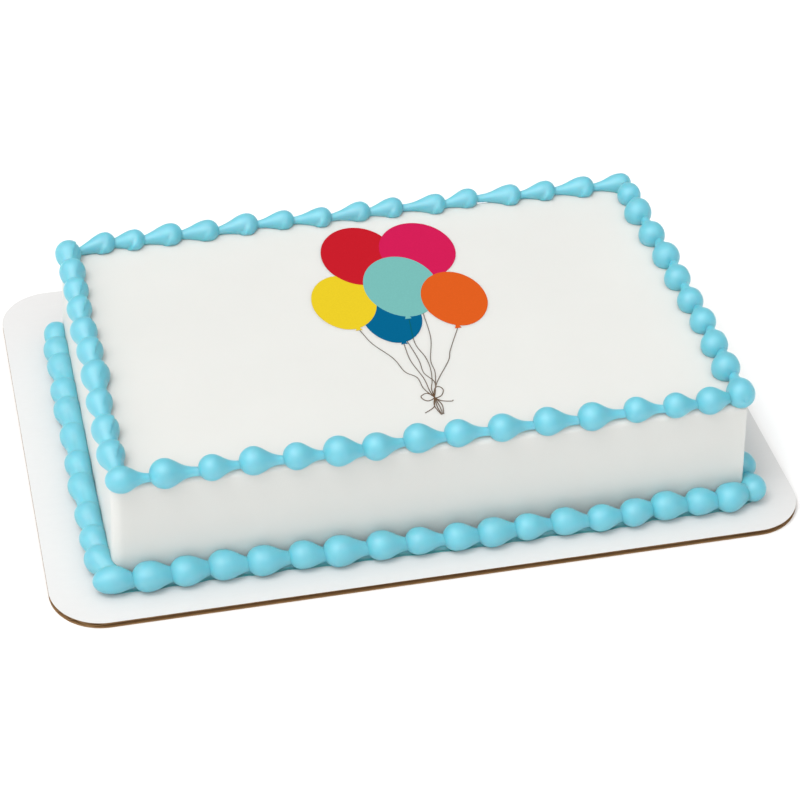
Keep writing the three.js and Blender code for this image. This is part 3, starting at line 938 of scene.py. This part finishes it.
def flat_thread(name, line, closed, lift):
    """A thin ribbon that follows the icing, a little higher in its middle."""
    count = len(line)
    vertices = []
    for i, point in enumerate(line):
        before = line[i - 1] if closed or i > 0 else point
        after = line[(i + 1) % count] if closed or i + 1 < count else point
        way = (after - before).normalized()
        side = Vector((-way.y, way.x)) * THREAD_WIDTH / 2
        for across, height in THREAD_SECTION:
            p = on_cake(*(point + side * across))
            z = icing_height(p.x, p.y) + FILM_HEIGHT * (1 + lift) + THREAD_HEIGHT * height
            vertices.append((p.x, p.y, z))
    section = len(THREAD_SECTION)
    faces = []
    for i in range(count if closed else count - 1):
        for j in range(section):
            a, b = i * section + j, i * section + (j + 1) % section
            c, d = ((i + 1) % count) * section + (j + 1) % section, ((i + 1) % count) * section + j
            faces.append((a, d, c, b))
    if not closed:
        faces.append(tuple(range(section)))
        faces.append(tuple(reversed(range((count - 1) * section, count * section))))
    return new_object(name, vertices, faces)


# How far from the tie the strings' ink reaches its palest
INK_REACH = 0.03


def thread_ink():
    """Grey brown, darker at the tie, and dark green where the string crosses the blue balloon."""
    nodes = Nodes("ink_thread")
    away = nodes.add("ShaderNodeVectorMath", operation="DISTANCE")
    tie = on_cake(*TIE)
    away.inputs[1].default_value = (tie.x, tie.y, CAKE_TOP)
    nodes.link(nodes.place, away.inputs[0])
    distance = nodes.math("MULTIPLY", away.outputs["Value"], 1 / INK_REACH)
    tone = nodes.math("ADD", distance, nodes.math("MULTIPLY", nodes.noise(900, detail=3), 0.3))
    stops = ((0.1, (88, 62, 38)), (0.4, (108, 92, 78)), (0.8, (114, 104, 96)))
    plain = nodes.ramp(tone, [(place, linear(*ink)) for place, ink in stops])
    balloon = BALLOONS["blue"]
    middle = on_cake(balloon["x"], balloon["y"])
    place = nodes.add("ShaderNodeMapping")
    shrink = (2 / balloon["width"] / MM, 2 / balloon["height"] / MM)
    place.inputs["Location"].default_value = (-middle.x * shrink[0], -middle.y * shrink[1], 0)
    place.inputs["Scale"].default_value = (*shrink, 0)
    nodes.link(nodes.place, place.inputs["Vector"])
    length = nodes.add("ShaderNodeVectorMath", operation="LENGTH")
    nodes.link(place.outputs["Vector"], length.inputs[0])
    over = nodes.math("LESS_THAN", length.outputs["Value"], 1.0)
    mix = nodes.add("ShaderNodeMix", data_type="RGBA")
    nodes.link(over, mix.inputs["Factor"])
    nodes.link(plain, mix.inputs["A"])
    mix.inputs["B"].default_value = (*linear(0, 88, 94), 1)
    nodes.colour(mix.outputs["Result"])
    nodes.normal(nodes.bump(nodes.noise(1400, detail=3), 0.00004, 0.3))
    nodes.set(Roughness=0.6)
    nodes.shader.inputs["Specular IOR Level"].default_value = 0.05
    return nodes.material


def strings():
    def from_tie(places):
        return [(TIE[0] + x, TIE[1] + y) for x, y in places]

    lines = [(smooth_line([*places, TIE], False), False) for places in STRINGS]
    lines += [(smooth_line([TIE, *from_tie(places)], True), True) for places in BOW_LOOPS]
    lines += [(smooth_line([TIE, *from_tie(places)], False), False) for places in BOW_ENDS]
    threads = []
    for i, (line, closed) in enumerate(lines):
        threads.append(flat_thread(f"thread_{i}", line, closed, i * THREAD_LIFT))
    whole = join_by_union("string_lines", threads)
    smooth_to_angle(whole, SHARP_FROM["threads"])
    whole.data.materials.clear()
    whole.data.materials.append(thread_ink())
    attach(whole, "root")
    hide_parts("print_strings")


# Board: a white paper liner and a kraft liner with a wavy kraft medium between them
FLUTE_PITCH = 6.4 * MM
FLUTE_SKEW = math.radians(0.45)
FLUTE_STEPS = 14
MEDIUM = 0.3 * MM
MEDIUM_INSET = 0.35 * MM
MEDIUM_PLAY = 0.02 * MM
MEDIUM_SPANS = 6
WASHBOARD = 0.03 * MM
WAVY_SPACING = 1.6 * MM
PLAIN_SPACING = 12 * MM
# Steps on a corner and along a long and a short side
LINER_STEPS = (24, 60, 50)
# How many samples along the board look for a flute line's ends, and how often the step there is halved
END_SAMPLES = 400
END_HALVINGS = 24
# A face of the white liner whose normal rises less than this is its brown edge or underside
LOOKS_UP = 0.5


def flute_phase(x, y):
    return 2 * math.pi * (y - x * math.tan(FLUTE_SKEW)) / FLUTE_PITCH


def liner(name, low, high, washboard):
    corners = (BOARD_CORNER, BOARD_CORNER)
    outline = [Vector(p) for p in rounded_rectangle(LINER_HIGH.x, LINER_HIGH.y, corners, *LINER_STEPS)]
    flat, covered = fill_outlines([outline], WAVY_SPACING if washboard else PLAIN_SPACING)
    triangles = [tri for tri, _ in covered]

    def wave(x, y):
        return washboard * math.sin(flute_phase(x, y))

    return slab_from_triangles(name, flat, triangles, lambda x, y: low, lambda x, y: high + wave(x, y))


def line_in_board(offset, inset):
    """Where a flute line at this offset enters and leaves the board, or None if it misses."""
    slope = math.tan(FLUTE_SKEW)
    half_x, half_y = LINER_HIGH.x - inset, LINER_HIGH.y - inset
    radius = BOARD_CORNER - inset

    def inside(x):
        y = offset + slope * x
        over_x, over_y = abs(x) - (half_x - radius), abs(y) - (half_y - radius)
        if over_x > 0 and over_y > 0:
            return math.hypot(over_x, over_y) <= radius
        return abs(x) <= half_x and abs(y) <= half_y

    samples = [half_x * (2 * i / END_SAMPLES - 1) for i in range(END_SAMPLES + 1)]
    within = [x for x in samples if inside(x)]
    if not within:
        return None
    ends = []
    for start, step in ((within[0], -1), (within[-1], 1)):
        near, far = start, start + step * 2 * half_x / END_SAMPLES
        for _ in range(END_HALVINGS):
            middle = (near + far) / 2
            near, far = (middle, far) if inside(middle) else (near, middle)
        ends.append(near)
    return ends


def core_medium():
    """The wavy sheet: straight flute lines from edge to edge, joined into one closed thin body."""
    middle_z = (CORE_LOW.z + CORE_HIGH.z) / 2
    swing = (CORE_HIGH.z - CORE_LOW.z - MEDIUM) / 2 - MEDIUM_PLAY
    reach = LINER_HIGH.y + LINER_HIGH.x * math.tan(FLUTE_SKEW)
    lines = []
    step = FLUTE_PITCH / FLUTE_STEPS
    for i in range(int(-reach / step) - 1, int(reach / step) + 2):
        offset = i * step
        ends = line_in_board(offset, MEDIUM_INSET)
        if ends is None:
            continue
        phase = 2 * math.pi * offset / FLUTE_PITCH
        slope = swing * math.cos(phase) * 2 * math.pi / FLUTE_PITCH
        length = math.hypot(1, slope)
        lean, lift = -slope / length, 1 / length
        lines.append((offset, ends, middle_z + swing * math.sin(phase), lean, lift))
    vertices = []
    spans = MEDIUM_SPANS
    for offset, (start, end), z, lean, lift in lines:
        for sheet in (1, -1):
            for k in range(spans + 1):
                x = start + (end - start) * k / spans
                y = offset + x * math.tan(FLUTE_SKEW) + sheet * lean * MEDIUM / 2
                vertices.append((x, y, z + sheet * lift * MEDIUM / 2))
    row = 2 * (spans + 1)
    faces = []
    for i in range(len(lines) - 1):
        here, there = i * row, (i + 1) * row
        for k in range(spans):
            faces.append((here + k, here + k + 1, there + k + 1, there + k))
            low_here, low_there = here + spans + 1 + k, there + spans + 1 + k
            faces.append((low_here, low_there, low_there + 1, low_here + 1))
        faces.append((here, there, there + spans + 1, here + spans + 1))
        faces.append((here + spans, here + row - 1, there + row - 1, there + spans))
    for k in range(spans):
        faces.append((k, k + spans + 1, k + spans + 2, k + 1))
        last = (len(lines) - 1) * row
        faces.append((last + k, last + k + 1, last + k + spans + 2, last + k + spans + 1))
    return new_object("board_fluting", vertices, faces)


def board():
    top = liner("board_paper", LINER_LOW.z, LINER_HIGH.z, WASHBOARD)
    smooth_to_angle(top, SHARP_FROM["liner"])
    top.data.materials.append(white_paper())
    top.data.materials.append(kraft_card("kraft_paper_edge", (140, 106, 64), (96, 68, 36)))
    for face in top.data.polygons:
        if face.normal.z < LOOKS_UP:
            face.material_index = 1
    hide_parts("board_top_liner")
    core = core_medium()
    smooth_to_angle(core, SHARP_FROM["fluting"])
    core.data.materials.append(kraft_card("kraft_fluting", (164, 126, 84), (128, 96, 58)))
    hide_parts("board_core")
    bottom = liner("board_kraft", BOARD_LOW.z, CORE_LOW.z, 0)
    smooth_to_angle(bottom, SHARP_FROM["liner"])
    bottom.data.materials.append(kraft_card("kraft_liner", (156, 120, 78), (130, 98, 60)))
    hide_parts("board_bottom_liner")
    for piece in (top, core, bottom):
        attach(piece, "root")


# Room, light and camera
FLOOR_HALF = 6.0
FLOOR_Z = -0.05 * MM


def floor():
    corners = [(x * FLOOR_HALF, y * FLOOR_HALF, FLOOR_Z) for x, y in ((-1, -1), (1, -1), (1, 1), (-1, 1))]
    made = new_object("floor", corners, [(0, 1, 2, 3)])
    nodes = Nodes("pale_floor")
    nodes.set(Roughness=0.9)
    nodes.shader.inputs["Base Color"].default_value = (0.95, 0.95, 0.95, 1)
    nodes.shader.inputs["Specular IOR Level"].default_value = 0.1
    made.data.materials.append(nodes.material)


def area_light(name, place, target, size, power):
    data = bpy.data.lights.new(name, "AREA")
    data.shape = "DISK"
    data.size = size
    data.energy = power
    made = bpy.data.objects.new(name, data)
    made.location = place
    made.rotation_euler = (Vector(target) - Vector(place)).to_track_quat("-Z", "Y").to_euler()
    bpy.context.scene.collection.objects.link(made)


# The room: pale all round, and brightest towards a broad soft light above and to the left
ROOM = 0.42
GLOW = {"way": (-0.35, -0.26, 0.87), "strength": 1.95, "power": 3}
OVERHEAD = {"way": (-0.35, -0.2, 0.9), "size": 0.8, "power": 11}
LIGHT_DISTANCE = 2.4
LIGHT_TARGET = (0, 0, 0.03)


def lights():
    world = bpy.data.worlds.new("studio")
    world.use_nodes = True
    tree = world.node_tree
    background = tree.nodes["Background"]
    background.inputs["Color"].default_value = (1.0, 1.0, 0.995, 1)
    place = tree.nodes.new("ShaderNodeTexCoord")
    towards = tree.nodes.new("ShaderNodeVectorMath")
    towards.operation = "DOT_PRODUCT"
    towards.inputs[1].default_value = Vector(GLOW["way"]).normalized()
    tree.links.new(place.outputs["Generated"], towards.inputs[0])
    value = towards.outputs["Value"]
    shares = (("MAXIMUM", 0.0), ("POWER", GLOW["power"]), ("MULTIPLY", GLOW["strength"]), ("ADD", ROOM))
    for operation, amount in shares:
        node = tree.nodes.new("ShaderNodeMath")
        node.operation = operation
        node.inputs[1].default_value = amount
        tree.links.new(value, node.inputs[0])
        value = node.outputs["Value"]
    tree.links.new(value, background.inputs["Strength"])
    bpy.context.scene.world = world
    place = Vector(OVERHEAD["way"]).normalized() * LIGHT_DISTANCE
    area_light("overhead", place, LIGHT_TARGET, OVERHEAD["size"], OVERHEAD["power"])


def camera():
    yaw, pitch, roll = (math.radians(a) for a in (CAMERA_YAW, CAMERA_PITCH, CAMERA_ROLL))
    ahead = Vector((math.sin(yaw) * math.cos(pitch), math.cos(yaw) * math.cos(pitch), -math.sin(pitch)))
    level = Vector((math.cos(yaw), -math.sin(yaw), 0))
    up = level.cross(ahead)
    right = level * math.cos(roll) + up * math.sin(roll)
    upright = up * math.cos(roll) - level * math.sin(roll)
    data = bpy.data.cameras.new("camera")
    data.sensor_width = SENSOR
    data.lens = FOCAL_PIXELS * SENSOR / PICTURE_PIXELS
    data.clip_start = 0.01
    made = bpy.data.objects.new("camera", data)
    turn = Matrix((right, upright, -ahead)).transposed().to_4x4()
    made.matrix_world = Matrix.Translation(CAMERA_AT) @ turn
    bpy.context.scene.collection.objects.link(made)
    bpy.context.scene.camera = made


def cake():
    made = iced_cake()
    smooth_to_angle(made, SHARP_FROM["cake"])
    made.data.materials.append(white_icing())
    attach(made, "root")
    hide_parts("iced_cake")


def borders():
    icing = blue_icing()
    block = cake_block()
    pieces = border("top", TOP_RING, TOP_RUNS, TOP_MARKS, block, 0, False)
    pieces += border("bottom", BOTTOM_RING, BOTTOM_RUNS, {}, block, BOARD_TOP - BOARD_SINK, True)
    for piece in pieces:
        piece.data.materials.clear()
        piece.data.materials.append(icing)
    bpy.data.objects.remove(block)


camera()
lights()
floor()
board()
cake()
borders()
balloons()
strings()
bpy.context.scene.view_settings.view_transform = "Standard"
